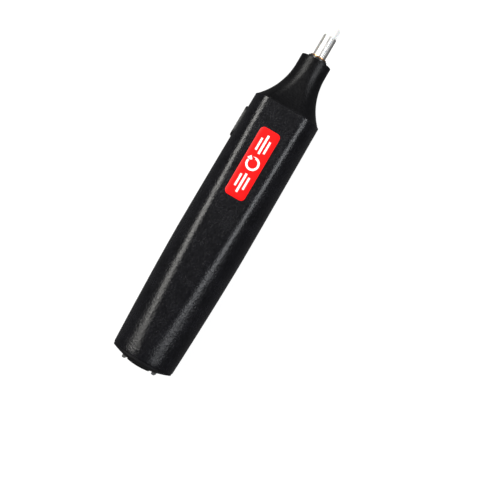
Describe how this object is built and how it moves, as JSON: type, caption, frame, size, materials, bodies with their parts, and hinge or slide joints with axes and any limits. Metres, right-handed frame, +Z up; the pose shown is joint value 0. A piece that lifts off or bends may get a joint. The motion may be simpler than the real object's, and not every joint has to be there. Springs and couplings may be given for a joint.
{
  "type": "battery eraser",
  "caption": "Pen-shaped battery eraser: black moulded barrel with a flat facet and red badge, flared nose, split metal collet holding a white eraser stick, side push button and domed end cap.",
  "frame": {"origin": "on the plane of the barrel's flat back, half way along the tool, below the tool axis", "axes": "+X along the tool towards the eraser, +Y towards the push button, +Z up through the badge facet"},
  "size_m": [0.1535, 0.0295, 0.0254],
  "materials": {
    "black_plastic": "fine spark texture",
    "nose_plastic": "fine spark texture",
    "badge_red": "glossy print",
    "collar_black": "satin",
    "bronze": "sintered, oiled",
    "steel": "rolled",
    "bright_metal": "bright",
    "spring_steel": "drawn wire",
    "nickel": "plated",
    "copper": "enamelled wire",
    "ferrite": "sintered",
    "inner_plastic": "moulded",
    "bell_plastic": "moulded",
    "board": "coated",
    "wire_red": "insulation",
    "wire_black": "insulation",
    "coupling_plastic": "moulded",
    "eraser": "soft vinyl",
    "button": "ribbed",
    "film_blue": "printed film"
  },
  "bodies": {
    "housing": {"barrel_shell": "black_plastic", "badge": "badge_red", "nose_cone": "nose_plastic", "bearing_collar": "collar_black", "front_bearing": "bronze", "motor_can": "steel", "motor_bell": "bell_plastic", "motor_bushes": "bronze", "motor_magnets": "ferrite", "motor_terminals": "copper", "motor_brushes": "copper", "motor_cradle": "inner_plastic", "motor_clamp": "steel", "clamp_screws": "steel", "supply_contacts": "nickel", "switch_board": "board", "switch_contacts": "nickel", "red_wire": "wire_red", "black_wire": "wire_black", "switch_wire": "wire_black", "button_spring": "spring_steel"},
    "spindle": {"motor_shaft": "steel", "rotor_core": "steel", "rotor_windings": "copper", "commutator": "copper", "drive_coupling": "coupling_plastic", "grub_screw": "steel", "collet": "bright_metal", "collet_ring": "nickel"},
    "eraser": {"eraser_stick": "eraser"},
    "button": {"button_cap": "button", "contact_bridge": "nickel"},
    "battery_drawer": {"end_cap": "black_plastic", "drawer_tray": "black_plastic", "cell_bridge": "nickel", "drawer_contacts": "nickel", "cell_springs": "spring_steel", "cell_left": "nickel", "cell_right": "nickel", "film_left": "film_blue", "film_right": "film_blue", "latch_spring": "spring_steel"},
    "left_latch": {"latch_left": "black_plastic"},
    "right_latch": {"latch_right": "black_plastic"}
  },
  "joints": [
    {"name": "spindle_spin", "type": "hinge", "parent": "housing", "child": "spindle", "pos_m": [0, 0, 0.0122], "axis": [1, 0, 0], "continuous": true},
    {"name": "eraser_feed", "type": "slide", "parent": "spindle", "child": "eraser", "axis": [1, 0, 0], "range_m": [0, 0.022]},
    {"name": "button_press", "type": "slide", "parent": "housing", "child": "button", "axis": [0, -1, 0], "range_m": [0, 0.001], "stiffness_N_per_m": 900, "springref_m": -0.0012, "deforming": ["button_spring"]},
    {"name": "drawer_slide", "type": "slide", "parent": "housing", "child": "battery_drawer", "axis": [-1, 0, 0], "range_m": [0, 0.062]},
    {"name": "left_latch_pinch", "type": "slide", "parent": "battery_drawer", "child": "left_latch", "axis": [0, -1, 0], "range_m": [0, 0.0009], "stiffness_N_per_m": 700, "springref_m": -0.0008, "deforming": ["latch_spring"]},
    {"name": "right_latch_pinch", "type": "slide", "parent": "battery_drawer", "child": "right_latch", "axis": [0, 1, 0], "range_m": [0, 0.0009], "stiffness_N_per_m": 700, "springref_m": -0.0008}
  ],
  "couplings": [
    {"joint": "right_latch_pinch", "follows": "left_latch_pinch", "ratio": 1}
  ]
}
